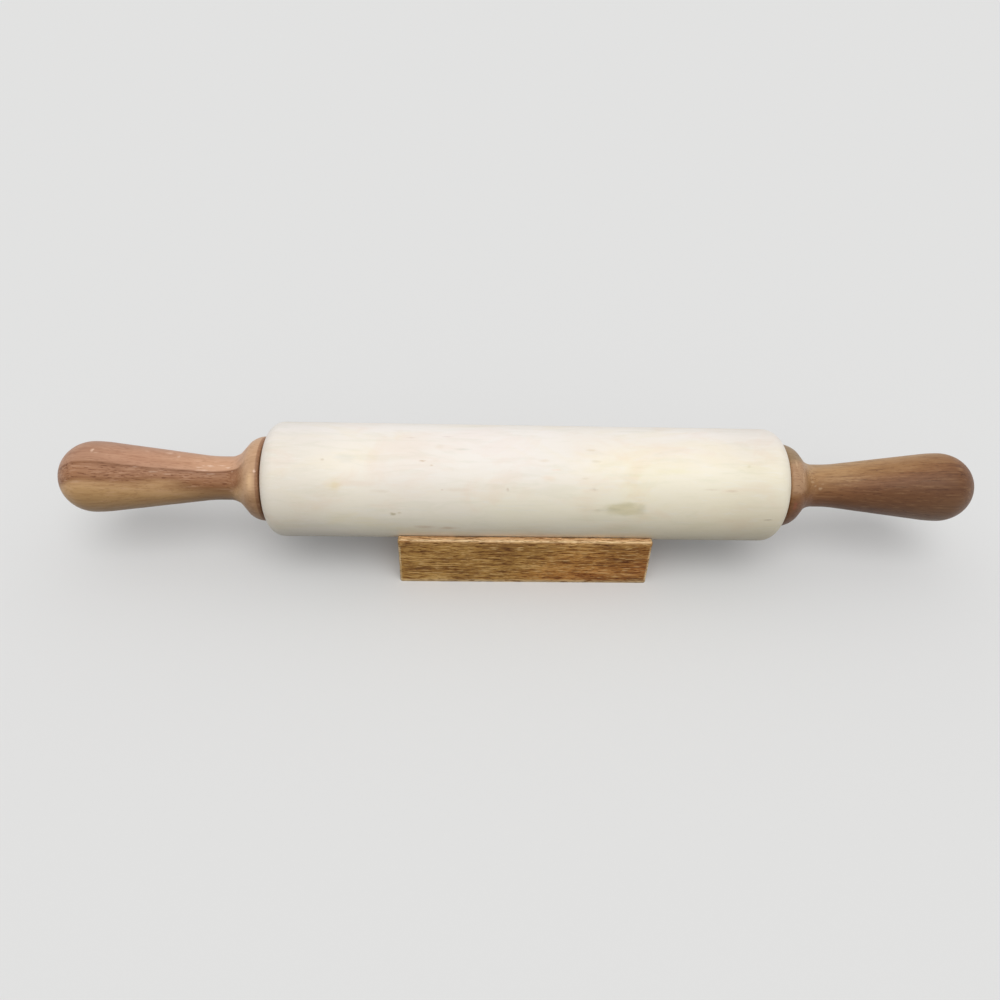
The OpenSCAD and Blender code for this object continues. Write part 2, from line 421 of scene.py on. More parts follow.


# Wears the edges down, and notes the rim and the edges for the paint, which lightens them partly as wear
# and partly as a painted highlight
def wearCradle(mesh):
    shape = cradleShape
    mesh.normal_update()
    rim = mesh.verts.layers.float.new("rim")
    wearAndHighlight = mesh.verts.layers.float.new("edge")
    lineWidth, lineFade = shape["wearAndHighlightLine"]
    rimWidth, rimLineFade = shape["rimLine"]
    for vert in mesh.verts:
        vert.co.z = max(0, vert.co.z)
        toEnd = cradleHigh.x - abs(vert.co.x)
        toSide = halfDepth(vert.co.z) - abs(vert.co.y)
        toRim = cradleHigh.z - vert.co.z
        near = sorted((toEnd, toSide, toRim, vert.co.z))
        toEdge = near[0] + near[1]
        vert[rim] = math.exp(-toRim / shape["rimFade"])
        vert[wearAndHighlight] = falloff(toEdge, lineFade, start=lineWidth)
        if toRim < shape["rimZone"]:
            vert[wearAndHighlight] *= falloff(toRim, rimLineFade, start=rimWidth)
        if vert.co.z < shape["footKept"] or onSeat(vert):
            continue
        wave = max(0, shape["waveStart"] + waviness(vert.co, *shape["waves"]))
        sink = shape["wear"] * math.exp(-toEdge / shape["wearFade"]) + shape["fuzz"]
        footed = min(1, vert.co.z / shape["footFade"])
        vert.co -= vert.normal * footed * wave * sink


def makeCradle():
    mesh = bmesh.new()
    sawCradle(mesh)
    roundCradle(mesh)
    sliceCradle(mesh)
    wearCradle(mesh)
    return finishPiece(mesh, "cradle_block", "cradle")


cradle = makeCradle()
print("cradle cut")

markDepth = 6.0  # how far a painted mark reaches under the surface, in mm


# Material tools: a wrapped socket does sums, and node() makes any other node
class Value:
    def __init__(self, paint, socket):
        self.paint = paint
        self.socket = socket

    def sum(self, kind, first, second=0.0):
        return self.paint.node("ShaderNodeMath", {"operation": kind}, {0: first, 1: second})

    def __add__(self, other):
        return self.sum("ADD", self, other)

    def __sub__(self, other):
        return self.sum("SUBTRACT", self, other)

    def __rsub__(self, other):
        return self.sum("SUBTRACT", other, self)

    def __mul__(self, other):
        return self.sum("MULTIPLY", self, other)

    def __truediv__(self, other):
        return self.sum("DIVIDE", self, other)

    def __rtruediv__(self, other):
        return self.sum("DIVIDE", other, self)

    def __abs__(self):
        return self.sum("ABSOLUTE", self)

    __radd__ = __add__
    __rmul__ = __mul__


class Paint:
    def __init__(self, name):
        self.material = bpy.data.materials.new(name)
        self.material.use_nodes = True
        self.tree = self.material.node_tree
        self.shader = self.tree.nodes["Principled BSDF"]

    def node(self, kind, settings=None, inputs=None, output=0):
        made = self.tree.nodes.new(kind)
        for name, setting in (settings or {}).items():
            if name == "stops":
                self.setStops(made.color_ramp, setting)
            else:
                setattr(made, name, setting)
        for name, given in (inputs or {}).items():
            self.feed(made.inputs[name], given)
        return Value(self, made.outputs[output])

    def setStops(self, ramp, stops):
        while len(ramp.elements) < len(stops):
            ramp.elements.new(0.5)
        for element, (place, tone) in zip(ramp.elements, stops):
            element.position = place
            element.color = (*tone, 1)

    def feed(self, socket, given):
        if isinstance(given, Value):
            self.tree.links.new(given.socket, socket)
        elif socket.type == "RGBA":
            socket.default_value = (*given, 1)
        else:
            socket.default_value = given

    def set(self, **inputs):
        for name, given in inputs.items():
            self.feed(self.shader.inputs[name.replace("_", " ")], given)

    def place(self, move=(0, 0, 0), turn=(0, 0, 0), stretch=(1, 1, 1), kind="POINT"):
        spot = self.node("ShaderNodeTexCoord", output="Object")
        return self.node(
            "ShaderNodeMapping",
            {"vector_type": kind},
            {"Vector": spot, "Location": move, "Rotation": turn, "Scale": stretch},
        )

    def measure(self, kind, spot, other=(0, 0, 0)):
        return self.node("ShaderNodeVectorMath", {"operation": kind}, {0: spot, 1: other}, "Value")

    # How far a point lies along a direction
    def along(self, direction, move=(0, 0, 0)):
        return self.measure("DOT_PRODUCT", self.place(move), direction)

    def noise(self, spot, scale, detail, roughness, warp=0.0):
        return self.node(
            "ShaderNodeTexNoise",
            {},
            {"Vector": spot, "Scale": scale, "Detail": detail, "Roughness": roughness, "Distortion": warp},
        )

    # Noise drawn out along the pin: a small stretch makes long streaks
    def grain(self, stretch, scale, detail, roughness, warp=0.0, shift=0.0):
        spot = self.place((shift, 0, 0), stretch=(stretch, 1, 1))
        return self.noise(spot, scale, detail, roughness, warp)

    # The same noise about 0, where reach is its whole swing
    def sway(self, reach, *row):
        return (self.grain(*row) - 0.5) * reach

    # 0 at the low limit, 1 at the high one. The low one may be the larger number
    def mask(self, given, low, high):
        return self.node(
            "ShaderNodeMapRange",
            {"interpolation_type": "SMOOTHSTEP"},
            {"Value": given, "From Min": low, "From Max": high},
        )

    def grains(self, rows):
        return {name: self.grain(*row) for name, row in rows.items()}

    def masks(self, given, rows):
        return {name: self.mask(given, *limits) for name, limits in rows.items()}

    def ramp(self, given, stops):
        return self.node("ShaderNodeValToRGB", {"stops": stops}, {"Fac": given})

    # A ramp with its stops in the units of the value
    def rampOver(self, given, stops):
        low = stops[0][0]
        span = stops[-1][0] - low
        return self.ramp((given - low) / span, [((place - low) / span, tone) for place, tone in stops])

    # Inputs 6 and 7 and output 2 are the node's sockets for colours
    def mix(self, amount, first, second, kind="MIX"):
        return self.node(
            "ShaderNodeMix",
            {"data_type": "RGBA", "blend_type": kind},
            {0: amount, 6: first, 7: second},
            output=2,
        )

    # Lays a tint of [colour, strength, kind of mix] over a shade
    def lay(self, shade, inside, tint):
        colour, strength, kind = tint
        return self.mix(inside * strength, shade, colour, kind)

    # Bumps of (height, strength, distance), each laid over the one before
    def relief(self, *bumps):
        inputs = {}
        for height, strength, distance in bumps:
            inputs.update({"Height": height, "Strength": strength, "Distance": distance})
            inputs["Normal"] = self.node("ShaderNodeBump", {}, inputs)
        return inputs["Normal"]

    # How far inside a mark a point lies: 1 in its middle, 0 outside. Sizes are in mm
    def mark(self, x, angle, radius, size, soft, edge=None, skew=0):
        middle = onTurned(x * mm, radius, math.radians(angle))
        turn = (math.radians(angle), 0, math.radians(skew))
        reach = [part * mm for part in (*size, markDepth)]
        far = self.measure("LENGTH", self.place(middle, turn, reach, "TEXTURE"))
        if edge is not None:
            far = far + edge
        return self.mask(far, 1.0, soft)


def dress(material, *nodes):
    for name in nodes:
        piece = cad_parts[name]
        piece.data.materials.clear()
        piece.data.materials.append(material)


# A grain's row is stretch, scale, detail, roughness, warp and shift. A sway has its reach before them
marble = {
    "grains": {
        "rosy": (0.60, 44.0, 4.0, 0.6, 0.7, 0.4),
        "straw": (0.45, 36.0, 4.0, 0.6, 0.7, 0.9),
        "streak": (0.16, 190.0, 4.0, 0.62, 0.8),
        "thread": (0.16, 620.0, 3.0, 0.6, 0.6),
        "fine": (1, 1400.0, 2.0, 0.6),
    },
    # The ground tone runs out from a line along the top. Its stops are partly the stone's own tone and
    # partly painted light and shade: lightest and warmest across the front, darker again on the lower
    # front
    "ground": (
        (0.12, (0.965, 0.915, 0.875)),
        (0.38, (0.935, 0.870, 0.785)),
        (0.56, (0.970, 0.895, 0.765)),
        (0.72, (0.985, 0.915, 0.735)),
        (0.92, (0.950, 0.860, 0.650)),
    ),
    "groundMiddle": 3.5 * mm,
    "groundAcross": 13.0,
    "groundLean": (0.8, 0, -5.0),
    "groundStart": 0.575,
    "groundSway": (0.9, 0.5, 18.0, 3.0, 0.5, 0.5),
    # The ends are painted darker: painted shade where the light falls off towards them
    "endZone": (82.0, 112.0),
    "ends": ((0.935, 0.930, 0.925), 1.0, "MULTIPLY"),
    "veins": (
        ("streak", (0.50, 0.66), ((0.915, 0.930, 0.900), 0.48, "MULTIPLY")),
        ("rosy", (0.50, 0.66), ((0.985, 0.935, 0.910), 0.75, "MULTIPLY")),
        ("straw", (0.50, 0.66), ((0.990, 0.968, 0.890), 0.75, "MULTIPLY")),
        ("thread", (0.54, 0.70), ((0.915, 0.930, 0.900), 0.26, "MULTIPLY")),
        ("thread", (0.46, 0.32), ((0.955, 0.925, 0.870), 0.20, "MIX")),
    ),
    "calmEdge": (0.9, 0.6, 170.0, 3.0, 0.6),
    "wideEdge": (1.1, 0.5, 320.0, 3.0, 0.6),
    "fineEdge": (1.5, 0.5, 900.0, 2.0, 0.5),
    "wideMark": 3.0,
    "veinRelief": (0.25, 0.15 * mm),
    "fineRelief": (0.2, 0.03 * mm),
    "roughness": 0.32,
    "streakRoughness": 0.14,
    "fineRoughness": 0.05,
}
# Marks in the stone: place along the barrel, angle from up towards the front, half sizes, tint, softness
marbleMarks = (
    (38.4, 77.8, (7.4, 2.3), (0.870, 0.870, 0.830), 0.1),
    (45.8, 72.6, (8.6, 2.2), (0.915, 0.910, 0.875), 0.1),
    (33.4, 79.0, (4.4, 1.2), (0.90, 0.89, 0.86), 0.0),
    (-50.3, 33.0, (2.0, 0.7), (0.74, 0.63, 0.50), 0.0),
    (-46.0, 37.0, (1.2, 0.6), (0.82, 0.74, 0.62), 0.0),
    (-64.2, 86.0, (2.0, 1.2), (0.70, 0.66, 0.56), 0.0),
    (-61.0, 84.0, (1.6, 0.8), (0.84, 0.80, 0.72), 0.0),
    (-38.8, 4.0, (3.6, 0.7), (0.86, 0.82, 0.82), 0.0),
    (-31.5, 20.0, (5.0, 1.0), (0.86, 0.87, 0.84), 0.0),
    (-56.0, 6.0, (3.0, 0.6), (0.88, 0.84, 0.82), 0.0),
    (-96.9, 33.0, (1.4, 0.9), (0.84, 0.80, 0.74), 0.0),
    (-86.4, 30.5, (7.0, 3.2), (0.93, 0.945, 0.955), 0.2),
    (-91.5, 56.0, (7.0, 4.6), (0.985, 0.965, 0.885), 0.0),
    (-91.0, 56.5, (3.4, 2.8), (0.970, 0.955, 0.885), 0.0),
    (-80.0, 55.0, (14.0, 2.4), (0.975, 0.935, 0.915), 0.0),
    (-70.0, 62.0, (6.0, 1.2), (0.93, 0.91, 0.88), 0.0),
    (-42.4, 17.0, (3.4, 2.0), (0.95, 0.93, 0.90), 0.0),
    (-34.0, 60.0, (9.0, 1.6), (0.95, 0.92, 0.89), 0.0),
    (-41.0, 60.0, (1.0, 0.7), (0.88, 0.82, 0.78), 0.0),
    (-10.2, 59.0, (1.0, 1.4), (0.84, 0.79, 0.76), 0.0),
    (9.0, 48.0, (5.0, 2.4), (0.985, 0.93, 0.885), 0.0),
    (13.0, 40.0, (3.0, 0.8), (1.0, 0.93, 0.90), 0.0),
    (30.4, 58.0, (2.4, 1.3), (0.86, 0.83, 0.80), 0.0),
    (29.4, 19.0, (3.6, 0.9), (0.90, 0.87, 0.81), 0.0),
    (31.5, 31.0, (3.6, 1.0), (0.90, 0.88, 0.83), 0.0),
    (7.0, 31.0, (3.4, 1.3), (0.95, 0.91, 0.86), 0.0),
    (26.0, 48.0, (3.0, 0.8), (0.92, 0.91, 0.87), 0.0),
    (48.0, 44.0, (16.0, 1.4), (0.95, 0.965, 0.93), 0.0),
    (86.0, 57.0, (6.0, 0.8), (0.90, 0.87, 0.84), 0.0),
    (96.0, 58.0, (4.6, 0.9), (0.89, 0.85, 0.82), 0.0),
    (104.5, 34.0, (1.6, 1.0), (0.88, 0.86, 0.78), 0.0),
    (70.0, 40.0, (13.0, 2.2), (0.975, 0.97, 0.885), 0.0),
    (116.0, 88.0, (3.0, 0.8), (0.74, 0.70, 0.66), 0.0),
    (-49.0, 103.0, (8.0, 1.8), (0.84, 0.76, 0.71), 0.0),
    (-38.0, 104.5, (7.0, 1.5), (0.82, 0.72, 0.66), 0.0),
    (-72.0, -62.0, (9.0, 2.2), (0.92, 0.90, 0.86), 0.0),
    (22.0, -98.0, (5.0, 3.0), (0.88, 0.86, 0.79), 0.0),
    (78.0, -140.0, (12.0, 2.4), (0.93, 0.89, 0.82), 0.0),
    (-20.0, 160.0, (7.0, 2.0), (0.90, 0.87, 0.80), 0.0),
)
# The stain low on the right: the same, with a calmer edge
marbleStain = (
    (45.4, 76.6, (12.0, 4.6), (0.835, 0.815, 0.705), 0.45),
    (53.8, 77.8, (4.0, 4.2), (0.865, 0.865, 0.820), 0.1),
)


def marblePaint():
    paint = Paint("marble")
    grain = paint.grains(marble["grains"])
    across = abs(paint.along((0, 1, 0)) - marble["groundMiddle"]) * marble["groundAcross"]
    ground = across + paint.along(marble["groundLean"]) + marble["groundStart"]
    # The ramp carries painted light across the front and painted shade on the lower front
    shade = paint.ramp(ground + paint.sway(*marble["groundSway"]), marble["ground"])
    # Painted shade: the barrel darkens towards its ends
    ends = paint.mask(abs(paint.along((1, 0, 0))) / mm, *marble["endZone"])
    shade = paint.lay(shade, ends, marble["ends"])
    for name, limits, tint in marble["veins"]:
        shade = paint.lay(shade, paint.mask(grain[name], *limits), tint)
    calmEdge = paint.sway(*marble["calmEdge"])
    wideEdge = paint.sway(*marble["wideEdge"])
    fineEdge = paint.sway(*marble["fineEdge"])
    marks = [(row, calmEdge) for row in marbleStain]
    marks += [(row, wideEdge if row[2][0] > marble["wideMark"] else fineEdge) for row in marbleMarks]
    for (x, angle, size, tint, soft), edge in marks:
        inside = paint.mark(x, angle, barrelRadius, size, soft, edge)
        shade = paint.mix(inside, shade, tint, "MULTIPLY")
    veins = grain["streak"] * 0.5 + grain["thread"] * 0.5
    relief = paint.relief((veins, *marble["veinRelief"]), (grain["fine"], *marble["fineRelief"]))
    rough = grain["streak"] * marble["streakRoughness"] + grain["fine"] * marble["fineRoughness"]
    paint.set(Base_Color=shade, Roughness=rough + marble["roughness"], Normal=relief)
    return paint.material


# What both handles share. Reliefs are strength and distance
handleWood = {
    "ragged": (1.6, 0.4, 900.0, 2.0, 0.5),
    "markSoft": 0.1,
    "pores": (0.59, 0.66),
    "poreRelief": (0.6, -0.10 * mm),
    "fibreRelief": (0.35, 0.08 * mm),
    "poreRoughness": 0.12,
    "fibreRoughness": 0.16,
    "specular": 0.36,
}


# Distance in mm along the pin from the handle's flange face
def fromFlange(paint):
    return abs(paint.along((1, 0, 0))) / mm - handleLow.x / mm


# A mark on the left or right handle, placed from its flange face
def handleMark(paint, hand, t, angle, radius, size, soft, edge=None, skew=0):
    return paint.mark(hand * (handleLow.x / mm + t), angle, radius * mm, size, soft, edge, skew)


def finishHandle(paint, wood, shade, fibre, pores, sunk):
    relief = paint.relief((sunk, *handleWood["poreRelief"]), (fibre, *handleWood["fibreRelief"]))
    rough = fibre * handleWood["fibreRoughness"] + pores * handleWood["poreRoughness"] + wood["roughness"]
    paint.set(Base_Color=shade, Roughness=rough, Normal=relief, Specular_IOR_Level=handleWood["specular"])
    return paint.material


# Rings are distances in mm from the tree's axis, which runs along the piece at [y, z] from the pin's axis.
# The ring tones are partly the wood's layers and partly painted reflection and shade: light on top, a dark
# band on the upper front, a light olive band below it, and darker again down the front and underneath.
# A zone is a mask's low and high limits, over the rings or over the length from the flange face
leftWood = {
    "treeAxis": (5.0, 15.3),
    "ringSways": ((2.4, 0.30, 34.0, 2.0, 0.5), (1.8, 0.07, 300.0, 3.0, 0.6)),
    "ringLifts": ((46.0, 58, 13.6, (25.0, 5.4), 2.6), (15.0, 38, 11.6, (12.0, 5.0), 0.9)),
    "grains": {
        "fibre": (0.04, 950.0, 4.0, 0.62),
        "pore": (0.11, 2000.0, 1.0, 0.5),
        "figure": (0.18, 170.0, 3.0, 0.55, 0.5),
    },
    "ringsAndReflection": (
        (0.0, (0.520, 0.272, 0.165)),
        (7.0, (0.545, 0.290, 0.178)),
        (10.8, (0.545, 0.292, 0.180)),
        (12.7, (0.490, 0.256, 0.150)),
        (13.6, (0.270, 0.115, 0.048)),
        (14.5, (0.345, 0.160, 0.076)),
        (16.0, (0.400, 0.192, 0.094)),
        (17.9, (0.385, 0.180, 0.083)),
        (19.6, (0.325, 0.145, 0.059)),
        (20.7, (0.400, 0.205, 0.088)),
        (21.9, (0.550, 0.318, 0.148)),
        (23.2, (0.615, 0.370, 0.174)),
        (24.6, (0.560, 0.330, 0.142)),
        (29.0, (0.480, 0.280, 0.115)),
        (36.0, (0.380, 0.215, 0.090)),
    ),
    "ringZones": {
        "top": (13.2, 12.3),
        "below": (19.4, 21.6),
        "flangeUnderShade": (24.5, 28.5),
        "bandTop": (12.8, 14.2),
        "bandFoot": (21.4, 19.6),
    },
    "lengthZones": {
        "neckTop": (62.0, 20.0),
        "gripTop": (58.0, 86.0),
        "neck": (52.0, 20.0),
        "pastFlange": (12.0, 18.0),
        "flange": (13.0, 6.0),
        "flangeGapShade": (1.9, 1.1),
    },
    # Where the painted highlight on the flange sits
    "flangeHighlightMark": (4.0, 56, 20.4, (2.6, 8.0), 0.0),
    "neckTop": ((0.680, 0.395, 0.240), 0.75, "MIX"),
    "gripTop": ((0.880, 0.880, 0.870), 1.0, "MULTIPLY"),
    "neckUnderShade": ((0.560, 0.500, 0.440), 1.0, "MULTIPLY"),
    "flange": ((0.620, 0.385, 0.225), 0.85, "MIX"),
    "flangeUnderShade": ((0.660, 0.600, 0.520), 1.0, "MULTIPLY"),
    "flangeHighlight": ((0.880, 0.580, 0.320), 0.8, "MIX"),
    "flangeGapShade": ((0.560, 0.450, 0.400), 0.85, "MULTIPLY"),
    "fibres": (
        ("fibre", (0.50, 0.66), (0.24, 0.30), (0.560, 0.420, 0.300), "MULTIPLY"),
        ("fibre", (0.47, 0.32), (0.06, 0.26), (0.700, 0.430, 0.280), "MIX"),
        ("figure", (0.53, 0.68), (0.0, 0.24), (0.560, 0.420, 0.300), "MULTIPLY"),
    ),
    "poreStrength": (0.46, 0.26),
    "poreFlange": 0.7,
    "pore": (0.460, 0.300, 0.180),
    "scrapeAndGlint": (0.860, 0.610, 0.450),
    "roughness": 0.32,
}
# Pale dents and scrapes: distance from the flange face, angle, surface radius, half sizes, strength. At
# the dents the pale tint is partly a painted glint
leftScrapesAndGlints = (
    (81.2, 5, 17.4, (1.2, 1.7), 0.85), (79.0, 10, 17.4, (1.4, 0.5), 0.25),
    (46.8, -12, 13.4, (2.6, 1.0), 0.50), (42.0, -3, 12.8, (1.3, 1.2), 0.50),
    (26.3, 20, 11.0, (3.8, 0.7), 0.70), (20.5, 18, 10.9, (3.4, 0.6), 0.60),
    (17.0, 24, 11.1, (1.9, 0.7), 0.75), (30.0, 33, 11.3, (3.6, 0.5), 0.45),
    (52.0, 41, 14.2, (2.8, 0.6), 0.40), (1.8, 42, 21.0, (0.9, 1.1), 0.90),
    (60.0, 33, 15.3, (1.8, 0.5), 0.30), (33.0, 8, 11.6, (2.6, 0.6), 0.20),
    (24.0, 6, 10.9, (2.2, 0.6), 0.20), (31.0, 26, 11.5, (2.2, 0.5), 0.50),
    (57.0, -8, 15.0, (1.7, 0.7), 0.20), (68.0, 2, 16.2, (1.2, 0.5), 0.15),
    (15.0, 36, 11.6, (0.9, 0.6), 0.35), (45.0, 45, 13.4, (2.2, 0.5), 0.25),
    (86.0, 60, 17.4, (3.0, 1.0), 0.15), (25.5, 42, 11.0, (2.4, 0.5), 0.25),
)


def leftHandlePaint():
    wood = leftWood
    paint = Paint("left_handle_wood")
    grain = paint.grains(wood["grains"])
    y, z = wood["treeAxis"]
    ring = paint.measure("LENGTH", paint.place((0, -y * mm, -pinAxis.z - z * mm), stretch=(0, 1, 1))) / mm
    for row in wood["ringSways"]:
        ring = ring + paint.sway(*row)
    for t, angle, radius, size, lift in wood["ringLifts"]:
        ring = ring + handleMark(paint, -1, t, angle, radius, size, 0.0) * lift
    ringsAndReflection = paint.masks(ring, wood["ringZones"])
    lengths = paint.masks(fromFlange(paint), wood["lengthZones"])
    flange = lengths["flange"]
    # The ring tones hold painted reflection and shade as well as the wood's layers
    shade = paint.rampOver(ring, wood["ringsAndReflection"])
    shade = paint.lay(shade, ringsAndReflection["top"] * lengths["neckTop"], wood["neckTop"])
    shade = paint.lay(shade, ringsAndReflection["top"] * lengths["gripTop"], wood["gripTop"])
    # Painted shade under the neck, in the hollow between the flange and the grip
    shade = paint.lay(shade, ringsAndReflection["below"] * lengths["neck"] * lengths["pastFlange"], wood["neckUnderShade"])
    shade = paint.lay(shade, flange, wood["flange"])
    # Painted shade on the flange's lower front and underside
    shade = paint.lay(shade, flange * ringsAndReflection["flangeUnderShade"], wood["flangeUnderShade"])
    # A painted highlight on the flange
    shade = paint.lay(shade, handleMark(paint, -1, *wood["flangeHighlightMark"]), wood["flangeHighlight"])
    # Painted shade on the flange's edge, in the gap by the barrel
    shade = paint.lay(shade, lengths["flangeGapShade"], wood["flangeGapShade"])
    # Fibres and pores show more in the dark band along the grip, a band that is partly painted reflection
    band = ringsAndReflection["bandTop"] * ringsAndReflection["bandFoot"] * lengths["pastFlange"]
    for name, limits, (more, least), tint, kind in wood["fibres"]:
        inside = paint.mask(grain[name], *limits) * (band * more + least)
        shade = paint.mix(inside, shade, tint, kind)
    more, least = wood["poreStrength"]
    pores = paint.mask(grain["pore"], *handleWood["pores"]) * (band * more + least)
    pores = pores * (1 - flange * wood["poreFlange"])
    shade = paint.mix(pores, shade, wood["pore"], "MULTIPLY")
    ragged = paint.sway(*handleWood["ragged"])
    # Pale scrapes and dents; at the dents the pale tint is partly a painted glint
    for t, angle, radius, size, strength in leftScrapesAndGlints:
        inside = handleMark(paint, -1, t, angle, radius, size, handleWood["markSoft"], ragged)
        shade = paint.mix(inside * strength, shade, wood["scrapeAndGlint"])
    return finishHandle(paint, wood, shade, grain["fibre"], pores, pores)


# Layers of the wood are distances in mm along a slope, from a point on the pin's axis in the neck. The
# tones over them are partly the wood's own and partly painted shade: lighter on top, darker towards the
# front, the underside and the tip
rightWood = {
    "slope": (0.225, -0.771, -0.615),
    "layerStart": 20.0 * mm,
    "layerSways": ((5.0, 0.25, 45.0, 2.0, 0.5), (3.6, 0.05, 260.0, 3.0, 0.6)),
    "grains": {
        "fibre": (0.022, 1000.0, 4.0, 0.62),
        "pore": (0.06, 2300.0, 1.0, 0.5),
        "vein": (0.022, 300.0, 1.0, 0.5),
        "broken": (0.3, 110.0, 2.0, 0.5),
    },
    "layers": (
        (-14.0, (0.500, 0.335, 0.190)),
        (-8.5, (0.480, 0.300, 0.155)),
        (-5.5, (0.480, 0.284, 0.132)),
        (-2.5, (0.454, 0.253, 0.108)),
        (0.5, (0.362, 0.188, 0.074)),
        (3.5, (0.308, 0.148, 0.054)),
        (6.5, (0.254, 0.110, 0.038)),
        (9.5, (0.211, 0.086, 0.030)),
        (13.0, (0.179, 0.072, 0.024)),
        (20.0, (0.158, 0.064, 0.023)),
        (28.0, (0.185, 0.088, 0.038)),
    ),
    "flangeZone": (13.0, 6.0),
    "flangeLayers": (6.0, 2.2),
    "flangeTopLayers": (-8.0, -13.0),
    "flange": ((0.480, 0.285, 0.160), 0.85, "MIX"),
    "flangeTop": ((0.700, 0.780, 0.760), 1.0, "MULTIPLY"),
    "fibres": (
        ((0.50, 0.66), ((0.520, 0.400, 0.290), 0.32, "MULTIPLY")),
        ((0.47, 0.32), ((0.500, 0.300, 0.140), 0.20, "MIX")),
    ),
    "veins": ((0.50, (0.018, 0.004)), (0.42, (0.014, 0.003))),
    "veinBreaks": (0.42, 0.58),
    "veinStrength": 0.48,
    "veinRelief": 0.5,
    "poreStrength": 0.40,
    "line": (0.400, 0.280, 0.190),
    "pore": (0.480, 0.340, 0.230),
    "pale": (0.500, 0.300, 0.140),
    "speckAndGlint": (0.720, 0.500, 0.300),
    "speckSize": 2.0,
    "stainMark": (3.0, 81, 21.0, (1.8, 2.6)),
    "stain": ((0.330, 0.090, 0.040), 0.6, "MIX"),
    "roughness": 0.34,
}
# Pale dents, scrapes and figure: distance from the flange face, angle, surface radius, half sizes,
# strength and skew. The smallest are specks, and at the dents their pale tint is partly a painted glint
rightScrapesAndGlints = (
    (14.6, 43, 11.9, (1.5, 0.9), 0.42, 0), (18.8, 61, 10.9, (1.6, 1.1), 0.46, 0),
    (16.0, 53, 11.4, (1.0, 0.8), 0.28, 0), (13.4, 36, 12.4, (0.9, 0.7), 0.22, 0),
    (20.0, 48, 10.9, (1.2, 0.6), 0.15, 0), (3.4, 22, 21.0, (0.8, 2.6), 0.40, 0),
    (37.0, 38, 12.2, (5.5, 1.1), 0.26, 9), (33.0, 50, 11.8, (5.0, 1.0), 0.24, -10),
    (42.0, 29, 12.8, (5.0, 0.8), 0.22, 6), (60.0, 20, 15.3, (8.0, 0.7), 0.16, 0),
    (25.0, 5, 10.9, (7.0, 1.4), 0.30, 0), (6.6, 42, 19.4, (0.5, 6.0), 0.40, 0),
    (88.0, 20, 17.2, (3.0, 1.4), 0.18, 0), (92.0, 55, 16.0, (2.5, 1.6), 0.16, 0),
    (29.0, 25, 11.3, (13.0, 5.5), 0.42, 3), (64.0, 15, 15.8, (22.0, 2.4), 0.16, 0),
)
# Long dark grain lines: the same, with the strength of the dark
rightLines = (
    (32.0, 27, 11.6, (15.0, 0.50), 0.60, 1), (47.0, 13, 13.4, (11.0, 0.45), 0.65, 0),
    (64.0, 25, 15.7, (12.0, 0.50), 0.70, -1), (70.0, 41, 16.4, (9.0, 0.45), 0.60, 1),
    (29.0, 45, 11.2, (9.0, 0.45), 0.48, 0), (55.0, 52, 14.6, (10.0, 0.45), 0.55, 0),
    (40.0, 60, 12.6, (8.0, 0.45), 0.55, 0), (80.0, 8, 17.4, (9.0, 0.50), 0.60, 0),
    (84.0, 30, 17.6, (7.0, 0.50), 0.60, 0), (52.0, -2, 14.2, (9.0, 0.45), 0.55, 0),
    (76.0, 56, 17.0, (8.0, 0.45), 0.50, 0), (3.2, 52, 21.0, (1.6, 0.4), 0.60, 0),
    (9.7, 32, 16.3, (0.9, 4.2), 0.50, 0), (4.0, 44, 20.6, (1.6, 0.3), 0.40, 0),
    (2.6, 36, 21.0, (1.6, 0.3), 0.35, 0),
)


def rightHandlePaint():
    wood = rightWood
    paint = Paint("right_handle_wood")
    grain = paint.grains(wood["grains"])
    layer = paint.along(wood["slope"], (-handleLow.x - wood["layerStart"], 0, -pinAxis.z)) / mm
    for row in wood["layerSways"]:
        layer = layer + paint.sway(*row)
    flange = paint.mask(fromFlange(paint), *wood["flangeZone"])
    # The layer ramp is partly painted shade: darker towards the front, the underside and the tip
    shade = paint.rampOver(layer, wood["layers"])
    shade = paint.lay(shade, flange * paint.mask(layer, *wood["flangeLayers"]), wood["flange"])
    shade = paint.lay(shade, flange * paint.mask(layer, *wood["flangeTopLayers"]), wood["flangeTop"])
    for limits, tint in wood["fibres"]:
        shade = paint.lay(shade, paint.mask(grain["fibre"], *limits), tint)
    first, second = [paint.mask(abs(grain["vein"] - level), *limits) for level, limits in wood["veins"]]
    veins = (first + second) * paint.mask(grain["broken"], *wood["veinBreaks"])
    shade = paint.mix(veins * wood["veinStrength"], shade, wood["line"], "MULTIPLY")
    pores = paint.mask(grain["pore"], *handleWood["pores"]) * wood["poreStrength"]
    shade = paint.mix(pores, shade, wood["pore"], "MULTIPLY")
    ragged = paint.sway(*handleWood["ragged"])

    def markOn(t, angle, radius, size, skew=0):
        return handleMark(paint, 1, t, angle, radius, size, handleWood["markSoft"], ragged, skew)

    # Pale scrapes, figure and specks; at the dents the specks are partly painted glints
    for t, angle, radius, size, strength, skew in rightScrapesAndGlints:
        tint = wood["speckAndGlint"] if size[0] < wood["speckSize"] else wood["pale"]
        shade = paint.mix(markOn(t, angle, radius, size, skew) * strength, shade, tint)
    for t, angle, radius, size, strength, skew in rightLines:
        inside = markOn(t, angle, radius, size, skew) * strength
        shade = paint.mix(inside, shade, wood["line"], "MULTIPLY")
    shade = paint.lay(shade, markOn(*wood["stainMark"]), wood["stain"])
    sunk = pores + veins * wood["veinRelief"]
    return finishHandle(paint, wood, shade, grain["fibre"], pores, sunk)
